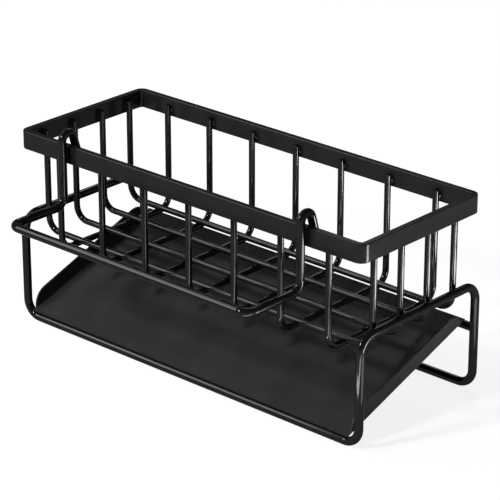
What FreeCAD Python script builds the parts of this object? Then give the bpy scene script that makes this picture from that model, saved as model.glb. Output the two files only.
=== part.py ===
import FreeCAD, Part
import math
import os

Vector = FreeCAD.Vector

# All sizes are millimetres. X runs along the caddy, Y from the sink to the wall,
# Z up from the counter. The origin is on the counter under the middle of the stand.

# Wire and strip stock.
heavy_wire = 4.7
light_wire = 3.5
strip_thickness = 3.5
strip_height = 10.4
strip_edge_round = 0.6
wire_end_round = 0.5

# Stand: one closed loop of heavy wire, measured between wire centres,
# and a rear rail set below the level of the side rails.
stand_length = 240.0
stand_depth = 92.4
side_rail_height = 60.8
stand_bend = 9.0
rear_rail_drop = 25.1

# Rim strip round the top of the basket. Its top is set above the side rails,
# which carry the basket.
rim_depth = 94.4
rim_rise = 50.3
rim_corner = 5.0

# Basket wires, each bent to a U with its floor below the side rails,
# and spread evenly between the outermost two.
floor_drop = 11.1
basket_bend = 8.0
wire_end_below_rim = 3.3
long_wire_count = 4
long_wire_end_gap = 10.0
cross_wire_count = 7
cross_wire_end_gap = 20.35

# Fits: welded wires bite into each other a little, loose pieces keep a thin gap.
weld_bite = 0.05
loose_gap = 0.3

# Towel bar, hung on the front of the rim by two hooks with flared tails.
towel_end_inset = 36.95
towel_reach = 38.7
towel_drop = 33.4
towel_bend = 6.0
hook_radius = 4.2
hook_rise = 2.7
hook_flare = math.radians(17.0)
hook_tail = 10.0

# Drip tray, a folded sheet lying on the bends of the front foot rail and on the rear rail.
tray_sheet = 1.0
tray_side_gap = 2.65
tray_fold = 2.0
tray_front_rise = 0.6
tray_front_lip = 0.2
tray_rear_lip = 0.5
flange_height = 8.8
flange_corner = 10.5
flange_lean = math.radians(65.0)
flange_front_inset = 2.3
flange_rear_inset = 2.5

# Lengths below this count as nothing.
touching = 1e-6

# Values that follow from the sizes above.
heavy_radius = heavy_wire / 2
light_radius = light_wire / 2
half_length = stand_length / 2
half_depth = stand_depth / 2
rear_rail_height = side_rail_height - rear_rail_drop
rim_top = side_rail_height + rim_rise
floor_height = side_rail_height - floor_drop
upright_x = half_length - heavy_radius - light_radius + weld_bite
rim_half_x = upright_x + light_radius - weld_bite + strip_thickness
rim_half_y = rim_depth / 2
upright_y = rim_half_y - strip_thickness - light_radius + weld_bite
wire_top = rim_top - wire_end_below_rim
cross_floor_height = floor_height - light_wire + weld_bite
tray_half_width = half_length - heavy_radius - tray_side_gap
tray_rise = rear_rail_height - heavy_radius
rail_distance = math.hypot(tray_rise, stand_depth)
tray_slope = math.atan2(tray_rise, stand_depth) - math.asin(tray_front_rise / rail_distance)
tray_front = -tray_front_lip
tray_rear = rail_distance + tray_rear_lip


def bend_points(before, corner, after, radius):
    """Start, middle and end of the arc that rounds a corner."""
    back = (before - corner).normalize()
    onward = (after - corner).normalize()
    half_angle = back.getAngle(onward) / 2
    setback = radius / math.tan(half_angle)
    bisector = (back + onward).normalize()
    middle = corner + bisector * (radius / math.sin(half_angle) - radius)
    return corner + back * setback, middle, corner + onward * setback


def rounded_path(corners, radii, closed=False):
    """A path of straight runs through the corners, each rounded by its own radius."""
    count = len(corners)
    bends = []
    for index, (corner, radius) in enumerate(zip(corners, radii)):
        if radius > 0:
            after = corners[(index + 1) % count]
            bends.append(bend_points(corners[index - 1], corner, after, radius))
        else:
            bends.append((corner, corner, corner))
    edges = []
    for index, (start, middle, end) in enumerate(bends):
        if radii[index] > 0:
            edges.append(Part.Arc(start, middle, end).toShape())
        runs_on = closed or index < count - 1
        next_start = bends[(index + 1) % count][0]
        if runs_on and end.distanceToPoint(next_start) > touching:
            edges.append(Part.makeLine(end, next_start))
    return Part.Wire(edges)


def bent_wire(corners, radii, diameter, closed=False):
    """Round wire bent through the corners."""
    path = rounded_path(corners, radii, closed)
    first = path.OrderedEdges[0]
    start = first.valueAt(first.FirstParameter)
    heading = first.tangentAt(first.FirstParameter)
    section = Part.Face(Part.Wire(Part.makeCircle(diameter / 2, start, heading)))
    return path.makePipe(section)


def round_ends(wire, ends):
    """The same wire with the sharp edge of each cut end rounded over."""
    circles = [edge for edge in wire.Edges if edge.Closed]
    rims = [edge for edge in circles
            if min(edge.CenterOfMass.distanceToPoint(end) for end in ends) < touching]
    return wire.makeFillet(wire_end_round, rims)


def stand_loop():
    """Two foot rails, four posts and two side rails bent from one wire."""
    x, y = half_length, half_depth
    foot, top = heavy_radius, side_rail_height
    corners = [Vector(-x, -y, foot), Vector(x, -y, foot), Vector(x, -y, top), Vector(x, y, top),
               Vector(x, y, foot), Vector(-x, y, foot), Vector(-x, y, top), Vector(-x, -y, top)]
    return bent_wire(corners, [stand_bend] * len(corners), heavy_wire, closed=True)


def rear_rail(stand):
    """Rail between the rear posts, with its ends shaped to sit on them."""
    start = Vector(-half_length, half_depth, rear_rail_height)
    bar = Part.makeCylinder(heavy_radius, stand_length, start, Vector(1, 0, 0))
    return bar.cut(stand)


def rim_outline(inset):
    """Outline of the rim strip seen from above, drawn in from its outer face."""
    x, y = rim_half_x - inset, rim_half_y - inset
    base = rim_top - strip_height
    corners = [Vector(-x, -y, base), Vector(x, -y, base), Vector(x, y, base), Vector(-x, y, base)]
    return rounded_path(corners, [rim_corner - inset] * len(corners), closed=True)


def rim_band():
    """Flat strip bent round the top of the basket."""
    ring = Part.Face(rim_outline(0)).cut(Part.Face(rim_outline(strip_thickness)))
    band = ring.extrude(Vector(0, 0, strip_height))
    level_edges = [edge for edge in band.Edges if edge.BoundBox.ZLength < touching]
    return band.makeFillet(strip_edge_round, level_edges)


def basket_wire(reach, side, floor):
    """One U of light wire, reaching both ways from a line set off to one side."""
    rise, base = Vector(0, 0, wire_top), Vector(0, 0, floor)
    ends = [side - reach + rise, side + reach + rise]
    corners = [ends[0], side - reach + base, side + reach + base, ends[1]]
    wire = bent_wire(corners, [0, basket_bend, basket_bend, 0], light_wire)
    return round_ends(wire, ends)


def spread(count, outermost):
    """Evenly spaced positions from one outermost place to its mirror image."""
    return [outermost * (2 * index / (count - 1) - 1) for index in range(count)]


def hook_corners(side):
    """Corners of one hook of the towel bar, from the tail inside the rim to the bar."""
    x = side * (rim_half_x - towel_end_inset)
    lean, upright = math.sin(hook_flare), math.cos(hook_flare)
    # The flared tail lies against the rounded inner top edge of the rim.
    edge_y = strip_thickness - strip_edge_round - rim_half_y
    edge_to_tail = strip_edge_round + loose_gap + heavy_radius
    bend_above_edge = hook_rise + strip_edge_round
    bend_y = edge_y + (edge_to_tail - hook_radius - bend_above_edge * lean) / upright
    bend_z = rim_top + hook_rise
    shoulder_y = bend_y + hook_radius * math.tan((math.pi / 2 - hook_flare) / 2)
    tail_y = bend_y + hook_radius * upright + hook_tail * lean
    tail_z = bend_z + hook_radius * lean - hook_tail * upright
    leg_y = bend_y - hook_radius
    bar_y = leg_y - towel_reach
    bar_z = rim_top - towel_drop
    return [Vector(x, tail_y, tail_z), Vector(x, shoulder_y, bend_z + hook_radius),
            Vector(x, leg_y, bend_z + hook_radius), Vector(x, leg_y, bar_z), Vector(x, bar_y, bar_z)]


def towel_bar():
    """Bar with an arm, a leg and a hook at each end, bent from one wire."""
    left, right = hook_corners(-1), hook_corners(1)
    radii = [0, hook_radius, hook_radius, towel_bend, towel_bend]
    wire = bent_wire(left + right[::-1], radii + radii[::-1], heavy_wire)
    return round_ends(wire, [left[0], right[0]])


def tray_channel():
    """The folded sheet at full length: a floor and two upright flanges."""
    x, top, sheet = tray_half_width, flange_height, tray_sheet
    section = [(-x, top), (-x, 0), (x, 0), (x, top),
               (x - sheet, top), (x - sheet, sheet), (sheet - x, sheet), (sheet - x, top)]
    inside = tray_fold - sheet
    radii = [0, tray_fold, tray_fold, 0, 0, inside, inside, 0]
    corners = [Vector(across, tray_front, height) for across, height in section]
    outline = rounded_path(corners, radii, closed=True)
    return Part.Face(outline).extrude(Vector(0, tray_rear - tray_front, 0))


def tray_side_view():
    """Block with the side view of the tray: a whole floor, flanges rounded at both ends."""
    rise = flange_height - tray_sheet
    lean = rise / math.tan(flange_lean)
    foot_front, foot_rear = tray_front + flange_front_inset, tray_rear - flange_rear_inset
    outline = [(tray_front, -tray_sheet), (tray_front, tray_sheet), (foot_front, tray_sheet),
               (foot_front + lean, flange_height), (foot_rear - lean, flange_height),
               (foot_rear, tray_sheet), (tray_rear, tray_sheet), (tray_rear, -tray_sheet)]
    radii = [0, 0, 0, flange_corner, flange_corner, 0, 0, 0]
    corners = [Vector(-tray_half_width, along, height) for along, height in outline]
    return Part.Face(rounded_path(corners, radii, closed=True)).extrude(Vector(2 * tray_half_width, 0, 0))


def drip_tray():
    """Sheet tray laid over the two rails, sloping down to the sink."""
    tray = tray_channel().common(tray_side_view()).Solids[0]
    tray.rotate(Vector(0, 0, 0), Vector(1, 0, 0), math.degrees(tray_slope))
    lift = heavy_radius + loose_gap + tray_front_rise
    back, up = lift * math.sin(tray_slope), lift * math.cos(tray_slope)
    tray.translate(Vector(0, -half_depth - back, heavy_radius + up))
    return tray


stand = stand_loop()
pieces = {
    "stand_loop": stand,
    "rear_rail": rear_rail(stand),
    "rim_band": rim_band(),
    "towel_bar": towel_bar(),
    "drip_tray": drip_tray(),
}
for number, y in enumerate(spread(long_wire_count, upright_y - long_wire_end_gap), 1):
    pieces[f"long_wire_{number}"] = basket_wire(Vector(upright_x, 0, 0), Vector(0, y, 0), floor_height)
for number, x in enumerate(spread(cross_wire_count, upright_x - cross_wire_end_gap), 1):
    pieces[f"cross_wire_{number}"] = basket_wire(Vector(0, upright_y, 0), Vector(x, 0, 0), cross_floor_height)

os.makedirs("parts", exist_ok=True)
for name, shape in pieces.items():
    shape.exportStep(f"parts/{name}.step")
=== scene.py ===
import math

import bmesh
import bpy
from mathutils import Matrix, Vector


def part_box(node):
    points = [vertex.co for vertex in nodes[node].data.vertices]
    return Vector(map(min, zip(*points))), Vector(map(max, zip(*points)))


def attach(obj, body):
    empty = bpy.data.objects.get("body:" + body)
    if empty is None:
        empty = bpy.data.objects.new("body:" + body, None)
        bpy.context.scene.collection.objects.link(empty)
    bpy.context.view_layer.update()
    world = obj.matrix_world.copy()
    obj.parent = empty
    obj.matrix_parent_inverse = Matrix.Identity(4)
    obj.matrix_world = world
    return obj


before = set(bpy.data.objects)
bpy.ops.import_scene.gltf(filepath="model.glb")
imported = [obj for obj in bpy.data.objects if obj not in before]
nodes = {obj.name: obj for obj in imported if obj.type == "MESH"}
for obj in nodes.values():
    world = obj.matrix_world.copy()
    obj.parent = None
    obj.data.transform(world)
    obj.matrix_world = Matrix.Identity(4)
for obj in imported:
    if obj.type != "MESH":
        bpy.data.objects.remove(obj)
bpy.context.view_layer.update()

# All lengths are metres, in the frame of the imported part: X along the caddy,
# Y from the sink to the wall, Z up from the counter.
MM = 0.001

scene = bpy.context.scene

# Camera of the photograph. Its angles are degrees, its lens and sensor millimetres.
CAMERA_TARGET = Vector((20.79, -17.54, 71.26)) * MM
CAMERA_DISTANCE = 1312.6 * MM
CAMERA_AZIMUTH = 42.26
CAMERA_ELEVATION = 22.94
CAMERA_LENS = 181.44
CAMERA_NEAR = 0.05
CAMERA_FAR = 50.0
SENSOR_WIDTH = 36.0

# Floor and studio. The walls are white, and fade into a dim ceiling between two heights.
FLOOR_SIZE = 8.0
FLOOR_GLOW = 0.86
FLOOR_WHITE = 0.14
WALL_LEVEL = 1.0
WALL_TOP = math.sin(math.radians(8))
CEILING_LEVEL = 0.15
CEILING_EDGE = math.sin(math.radians(16))

# Soft lamps round the caddy: azimuth and elevation in degrees, width, height and watts.
LAMP_DISTANCE = 1.3
SOFTBOXES = {
    "key": (-50, 31, 0.34, 0.80, 9.8),
    "front": (-17, 38.5, 0.15, 0.15, 17.0),
    "upper": (-86, 51, 0.25, 0.50, 2.3),
    "back": (-146, 36, 0.35, 0.35, 4.5),
}

# Small lamps that lie on the floor to the right and in front: two opposite corners and watts.
PANEL_LIFT = 1.5 * MM
FLOOR_PANELS = {
    "right_panel": ((0.272, -0.010), (0.345, 0.045), 0.78),
    "rear_panel": ((0.250, 0.045), (0.305, 0.115), 0.74),
    "corner_panel": ((0.320, 0.055), (0.370, 0.102), 0.75),
    "post_panel": ((0.172, -0.055), (0.235, 0.035), 0.11),
    "front_panel": ((0.080, -0.128), (0.310, -0.108), 0.32),
}

# The pigmented coat shines little more at its edges than face on. Slow clouds vary its shade and
# gloss, and a fine grain makes the waviness of the sprayed film.
COAT_IOR = 4.0
CLOUD_SCALE = 60
CLOUD_DETAIL = 3
GRAIN_DETAIL = 2
GRAIN_STRENGTH = 0.35
NOISE_ROUGHNESS = 0.5
SHADE_FROM, SHADE_TO = 0.35, 0.65
GLOSS_FROM, GLOSS_TO = 0.3, 0.7

# Weld beads: how far one reaches from the point where wires touch, how much its sides draw in,
# how deep it is sunk into the wires, and how finely it is drawn.
BEAD_REACH = 1.45 * MM
BEAD_WAIST = 0.25
BEAD_SUNK = 0.12 * MM
BEAD_STEPS = 24
BEAD_LEVELS = 6

# Beads beside the wires on the rim: half their width on the strip, where they leave the wire,
# how far they stop short of the ends, how much they shrink there, and how suddenly.
RIM_BEAD_WIDTH = 2.1 * MM
RIM_BEAD_ANGLE = math.radians(58)
RIM_BEAD_STOP = 0.6 * MM
RIM_BEAD_SHRINK = 0.5
RIM_BEAD_POWER = 4

# Beads round the ends of the rear rail.
RAIL_BEAD = 0.9 * MM

# Edges of the folded sheet that are broken, by how much, and how finely.
EDGE_BREAK = 0.25 * MM
EDGE_ANGLE = math.radians(50)
EDGE_STEPS = 2

RIGHT = Vector((1, 0, 0))
BACK = Vector((0, 1, 0))
UP = Vector((0, 0, 1))

long_wires = sorted(name for name in nodes if name.startswith("long_wire"))
cross_wires = sorted(name for name in nodes if name.startswith("cross_wire"))


def direction(azimuth, elevation):
    """Unit vector towards an azimuth from the front, turning to the right, and a height in degrees."""
    a, e = math.radians(azimuth), math.radians(elevation)
    return Vector((math.sin(a) * math.cos(e), -math.cos(a) * math.cos(e), math.sin(e)))


def new_material(name):
    """An empty node material with its output node."""
    material = bpy.data.materials.new(name)
    material.use_nodes = True
    tree = material.node_tree
    tree.nodes.clear()
    output = tree.nodes.new("ShaderNodeOutputMaterial")
    return material, tree, output


def noise(tree, scale, detail):
    """Noise in the frame of the part, so that it runs on across pieces."""
    place = tree.nodes.new("ShaderNodeTexCoord")
    texture = tree.nodes.new("ShaderNodeTexNoise")
    texture.inputs["Scale"].default_value = scale
    texture.inputs["Detail"].default_value = detail
    texture.inputs["Roughness"].default_value = NOISE_ROUGHNESS
    tree.links.new(place.outputs["Object"], texture.inputs["Vector"])
    return texture.outputs["Fac"]


def spread_value(tree, value, low, high):
    """Noise stretched to the range from low to high."""
    stretch = tree.nodes.new("ShaderNodeMapRange")
    stretch.inputs["From Min"].default_value = GLOSS_FROM
    stretch.inputs["From Max"].default_value = GLOSS_TO
    stretch.inputs["To Min"].default_value = low
    stretch.inputs["To Max"].default_value = high
    tree.links.new(value, stretch.inputs["Value"])
    return stretch.outputs["Result"]


def tint(tree, value, dark, light):
    """Grey that wanders between two shades with a noise."""
    ramp = tree.nodes.new("ShaderNodeValToRGB")
    stops = ramp.color_ramp.elements
    for stop, position, grey in zip(stops, (SHADE_FROM, SHADE_TO), (dark, light)):
        stop.position = position
        stop.color = (grey, grey, grey, 1)
    tree.links.new(value, ramp.inputs["Fac"])
    return ramp.outputs["Color"]


def coated_steel(name, shades, roughness, gloss, grain_scale, grain_depth):
    """Black baked coating on steel: cloudy gloss and the fine waviness of a sprayed film."""
    material, tree, output = new_material(name)
    shader = tree.nodes.new("ShaderNodeBsdfPrincipled")
    cloud = noise(tree, CLOUD_SCALE, CLOUD_DETAIL)
    grain = noise(tree, grain_scale, GRAIN_DETAIL)
    tree.links.new(tint(tree, cloud, *shades), shader.inputs["Base Color"])
    tree.links.new(spread_value(tree, cloud, *roughness), shader.inputs["Roughness"])
    shader.inputs["IOR"].default_value = COAT_IOR
    shader.inputs["Specular Tint"].default_value = (gloss, gloss, gloss, 1)
    bump = tree.nodes.new("ShaderNodeBump")
    bump.inputs["Strength"].default_value = GRAIN_STRENGTH
    bump.inputs["Distance"].default_value = grain_depth
    tree.links.new(grain, bump.inputs["Height"])
    tree.links.new(bump.outputs["Normal"], shader.inputs["Normal"])
    tree.links.new(shader.outputs["BSDF"], output.inputs["Surface"])
    return material


def seen_directly(tree):
    """One for rays from the eye, from a reflection or through glass, and nothing for other light."""
    path = tree.nodes.new("ShaderNodeLightPath")
    seen = path.outputs["Is Camera Ray"]
    for ray in ("Is Glossy Ray", "Is Transmission Ray"):
        either = tree.nodes.new("ShaderNodeMath")
        either.operation = "MAXIMUM"
        tree.links.new(seen, either.inputs[0])
        tree.links.new(path.outputs[ray], either.inputs[1])
        seen = either.outputs["Value"]
    return seen


def floor_material():
    """Pale floor that looks white and keeps the soft shadow of the caddy."""
    material, tree, output = new_material("pale_floor")
    matt = tree.nodes.new("ShaderNodeBsdfDiffuse")
    matt.inputs["Color"].default_value = (FLOOR_WHITE, FLOOR_WHITE, FLOOR_WHITE, 1)
    glow = tree.nodes.new("ShaderNodeEmission")
    level = tree.nodes.new("ShaderNodeMapRange")
    level.inputs["To Max"].default_value = FLOOR_GLOW
    tree.links.new(seen_directly(tree), level.inputs["Value"])
    tree.links.new(level.outputs["Result"], glow.inputs["Strength"])
    both = tree.nodes.new("ShaderNodeAddShader")
    tree.links.new(matt.outputs["BSDF"], both.inputs[0])
    tree.links.new(glow.outputs["Emission"], both.inputs[1])
    tree.links.new(both.outputs["Shader"], output.inputs["Surface"])
    return material


def make_floor():
    """The floor the caddy stands on."""
    mesh = bpy.data.meshes.new("floor")
    half = FLOOR_SIZE / 2
    corners = [(-half, -half, 0), (half, -half, 0), (half, half, 0), (-half, half, 0)]
    mesh.from_pydata(corners, [], [(0, 1, 2, 3)])
    floor = bpy.data.objects.new("floor", mesh)
    scene.collection.objects.link(floor)
    mesh.materials.append(floor_material())


def make_world():
    """White walls round the floor, which fade into the dim ceiling."""
    world = bpy.data.worlds.new("studio")
    scene.world = world
    world.use_nodes = True
    tree = world.node_tree
    tree.nodes.clear()
    output = tree.nodes.new("ShaderNodeOutputWorld")
    background = tree.nodes.new("ShaderNodeBackground")
    place = tree.nodes.new("ShaderNodeTexCoord")
    parts = tree.nodes.new("ShaderNodeSeparateXYZ")
    level = tree.nodes.new("ShaderNodeMapRange")
    level.interpolation_type = "SMOOTHSTEP"
    level.inputs["From Min"].default_value = WALL_TOP
    level.inputs["From Max"].default_value = CEILING_EDGE
    level.inputs["To Min"].default_value = WALL_LEVEL
    level.inputs["To Max"].default_value = CEILING_LEVEL
    tree.links.new(place.outputs["Generated"], parts.inputs["Vector"])
    tree.links.new(parts.outputs["Z"], level.inputs["Value"])
    tree.links.new(level.outputs["Result"], background.inputs["Strength"])
    tree.links.new(background.outputs["Background"], output.inputs["Surface"])


def face_caddy(thing, away, across, distance):
    """Stands a lamp or the camera off the middle of the view, turned to face it."""
    turn = Matrix((across, away.cross(across), away)).transposed().to_4x4()
    thing.matrix_world = Matrix.Translation(CAMERA_TARGET + away * distance) @ turn


def area_lamp(name, width, height, power):
    """A rectangular lamp, still to be placed."""
    data = bpy.data.lights.new(name, "AREA")
    data.shape = "RECTANGLE"
    data.size = width
    data.size_y = height
    data.energy = power
    lamp = bpy.data.objects.new(name, data)
    scene.collection.objects.link(lamp)
    return lamp


def softbox(name, azimuth, elevation, width, height, power):
    """A soft lamp that faces the caddy, with its width along the caddy."""
    lamp = area_lamp(name, width, height, power)
    away = direction(azimuth, elevation)
    along = (RIGHT - away * RIGHT.dot(away)).normalized()
    face_caddy(lamp, away, along, LAMP_DISTANCE)


def floor_panel(name, low, high, power):
    """A flat lamp that lies on the floor beside the caddy and shines up."""
    lamp = area_lamp(name, high[0] - low[0], high[1] - low[1], power)
    lamp.location = ((low[0] + high[0]) / 2, (low[1] + high[1]) / 2, PANEL_LIFT)
    lamp.rotation_euler = (math.pi, 0, 0)
    lamp.visible_camera = False


def make_camera():
    """Camera at the place and angle of the photograph."""
    data = bpy.data.cameras.new("camera")
    data.sensor_width = SENSOR_WIDTH
    data.lens = CAMERA_LENS
    data.clip_start = CAMERA_NEAR
    data.clip_end = CAMERA_FAR
    camera = bpy.data.objects.new("camera", data)
    scene.collection.objects.link(camera)
    away = direction(CAMERA_AZIMUTH, CAMERA_ELEVATION)
    across = direction(CAMERA_AZIMUTH + 90, 0)
    face_caddy(camera, away, across, CAMERA_DISTANCE)
    scene.camera = camera


def paint(material, names):
    """Gives one material to the named CAD nodes."""
    for name in names:
        mesh = nodes[name].data
        mesh.materials.clear()
        mesh.materials.append(material)


def soften_edges(name):
    """Breaks the sharp edges of a sheet piece, so that they catch the light."""
    bevel = nodes[name].modifiers.new("broken_edges", "BEVEL")
    bevel.width = EDGE_BREAK
    bevel.segments = EDGE_STEPS
    bevel.limit_method = "ANGLE"
    bevel.angle_limit = EDGE_ANGLE
    bevel.harden_normals = True


def wire_sizes(name, along):
    """Radius, place to the side, distance of the uprights, floor height and top of one basket wire."""
    low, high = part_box(name)
    aside = 1 - along
    radius = (high[aside] - low[aside]) / 2
    return radius, low[aside] + radius, high[along] - radius, low.z + radius, high.z


def heavy_radius():
    """Radius of the heavy wire, taken from the straight rear rail."""
    low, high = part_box("rear_rail")
    return (high.z - low.z) / 2


def curve(start, control, end):
    """Points on a hollow curve that is drawn towards a control point."""
    points = []
    for level in range(BEAD_LEVELS + 1):
        share = level / BEAD_LEVELS
        points.append(start * (1 - share) ** 2 + control * 2 * share * (1 - share) + end * share ** 2)
    return points


def skin(beads, loops, tips):
    """Faces between loops of points, closed by a tip at each end or, without tips, round into a ring."""
    rows = [[beads.verts.new(point) for point in loop] for loop in loops]
    onward = rows[1:] if tips else rows[1:] + rows[:1]
    for lower, upper in zip(rows, onward):
        for index in range(len(lower)):
            beads.faces.new((lower[index - 1], lower[index], upper[index], upper[index - 1]))
    for row, tip in zip((rows[0], rows[-1]), tips):
        end = beads.verts.new(tip)
        for index in range(len(row)):
            beads.faces.new((row[index - 1], row[index], end))


def touch_bead(beads, touch, upper_run, upper_radius, lower_run, lower_radius, away):
    """Weld between two wires that cross at right angles and touch at one point."""
    loops = []
    for level in range(BEAD_LEVELS + 1):
        share = level / BEAD_LEVELS
        reach = BEAD_REACH * (1 - BEAD_WAIST * math.sin(math.pi * share))
        loop = []
        for step in range(BEAD_STEPS):
            angle = 2 * math.pi * step / BEAD_STEPS
            off_lower, off_upper = BEAD_REACH * math.cos(angle), BEAD_REACH * math.sin(angle)
            top = upper_radius - math.sqrt(upper_radius ** 2 - off_upper ** 2) + BEAD_SUNK
            bottom = math.sqrt(lower_radius ** 2 - off_lower ** 2) - lower_radius - BEAD_SUNK
            aside = upper_run * math.cos(angle) + lower_run * math.sin(angle)
            loop.append(touch + aside * reach + away * (bottom + (top - bottom) * share))
        loops.append(loop)
    skin(beads, loops, (touch - away * BEAD_SUNK, touch + away * BEAD_SUNK))


def rim_bead(beads, axis, inward, radius, low, high):
    """Weld that fills both corners between an upright wire and the inner face of the rim."""
    loops = []
    for level in range(BEAD_LEVELS + 1):
        share = level / BEAD_LEVELS
        swell = 1 - RIM_BEAD_SHRINK * (2 * share - 1) ** RIM_BEAD_POWER
        width, angle = RIM_BEAD_WIDTH * swell, RIM_BEAD_ANGLE * swell
        middle = axis + UP * (low + (high - low) * share)
        flanks = []
        for side in (inward.cross(UP), UP.cross(inward)):
            on_strip = middle + side * width - inward * (radius + BEAD_SUNK)
            on_wire = middle + (side * math.sin(angle) - inward * math.cos(angle)) * (radius - BEAD_SUNK)
            corner = middle + side * radius * math.sin(angle) - inward * radius
            flanks.append(curve(on_wire, corner, on_strip))
        loops.append([middle] + flanks[0] + flanks[1][::-1])
    skin(beads, loops, (axis + UP * low, axis + UP * high))


def rail_bead(beads, joint, inward, radius):
    """Weld round one end of the rear rail, where it sits on a post of the same gauge."""
    loops = []
    for step in range(BEAD_STEPS):
        angle = 2 * math.pi * (step + 0.5) / BEAD_STEPS
        rise = math.sin(angle)
        size = RAIL_BEAD * abs(rise)
        out = UP * math.copysign(1, rise)
        corner = joint + inward * radius * abs(rise) + (BACK * math.cos(angle) + UP * rise) * radius
        on_rail = corner + inward * size - out * BEAD_SUNK
        on_post = corner + out * size - inward * BEAD_SUNK
        inside = corner - (inward + out) * size / 2
        loops.append(curve(on_rail, corner, on_post) + [inside])
    skin(beads, loops, ())


def floor_welds(beads):
    """Long wires on the cross wires, all over the basket floor."""
    for long_wire in long_wires:
        radius, y, _, floor, _ = wire_sizes(long_wire, 0)
        for cross_wire in cross_wires:
            x = wire_sizes(cross_wire, 1)[1]
            touch_bead(beads, Vector((x, y, floor - radius)), RIGHT, radius, BACK, radius, UP)


def side_welds(beads):
    """Uprights of the long wires on the side rails of the stand."""
    heavy = heavy_radius()
    rail_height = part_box("stand_loop")[1].z - heavy
    for name in long_wires:
        radius, y, upright, _, _ = wire_sizes(name, 0)
        for side in (RIGHT, -RIGHT):
            touch = side * (upright + radius) + BACK * y + UP * rail_height
            touch_bead(beads, touch, UP, radius, BACK, heavy, -side)


def rim_welds(beads):
    """All upright wires on the inner face of the rim."""
    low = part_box("rim_band")[0].z + RIM_BEAD_STOP
    for names, along, run, across in ((long_wires, 0, RIGHT, BACK), (cross_wires, 1, BACK, RIGHT)):
        for name in names:
            radius, aside, upright, _, top = wire_sizes(name, along)
            for side in (run, -run):
                rim_bead(beads, side * upright + across * aside, -side, radius, low, top - RIM_BEAD_STOP)


def rear_rail_welds(beads):
    """Ends of the rear rail on the rear posts."""
    heavy = heavy_radius()
    rail_low, rail_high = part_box("rear_rail")
    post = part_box("stand_loop")[1].x - heavy
    middle = (rail_low + rail_high) / 2
    for side in (RIGHT, -RIGHT):
        rail_bead(beads, middle + side * post, -side, heavy)


def add_welds(name, draw, material):
    """One piece of weld beads that rides with the rack."""
    beads = bmesh.new()
    draw(beads)
    bmesh.ops.recalc_face_normals(beads, faces=beads.faces)
    mesh = bpy.data.meshes.new(name)
    beads.to_mesh(mesh)
    beads.free()
    mesh.shade_smooth()
    mesh.materials.append(material)
    piece = bpy.data.objects.new(name, mesh)
    scene.collection.objects.link(piece)
    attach(piece, "rack")


wire_coat = coated_steel("wire_coat", shades=(0.003, 0.004), roughness=(0.07, 0.10), gloss=0.040,
                         grain_scale=900, grain_depth=0.03 * MM)
strip_coat = coated_steel("strip_coat", shades=(0.008, 0.010), roughness=(0.13, 0.17), gloss=0.024,
                          grain_scale=1400, grain_depth=0.02 * MM)
tray_coat = coated_steel("tray_coat", shades=(0.018, 0.021), roughness=(0.28, 0.34), gloss=0.018,
                         grain_scale=1400, grain_depth=0.02 * MM)

paint(strip_coat, ["rim_band"])
paint(tray_coat, ["drip_tray"])
paint(wire_coat, [name for name in nodes if name not in ("rim_band", "drip_tray")])

soften_edges("drip_tray")
add_welds("floor_welds", floor_welds, wire_coat)
add_welds("side_welds", side_welds, wire_coat)
add_welds("rim_welds", rim_welds, wire_coat)
add_welds("rear_rail_welds", rear_rail_welds, wire_coat)

make_floor()
make_world()
for name, settings in SOFTBOXES.items():
    softbox(name, *settings)
for name, settings in FLOOR_PANELS.items():
    floor_panel(name, *settings)
make_camera()

scene.view_settings.view_transform = "Standard"
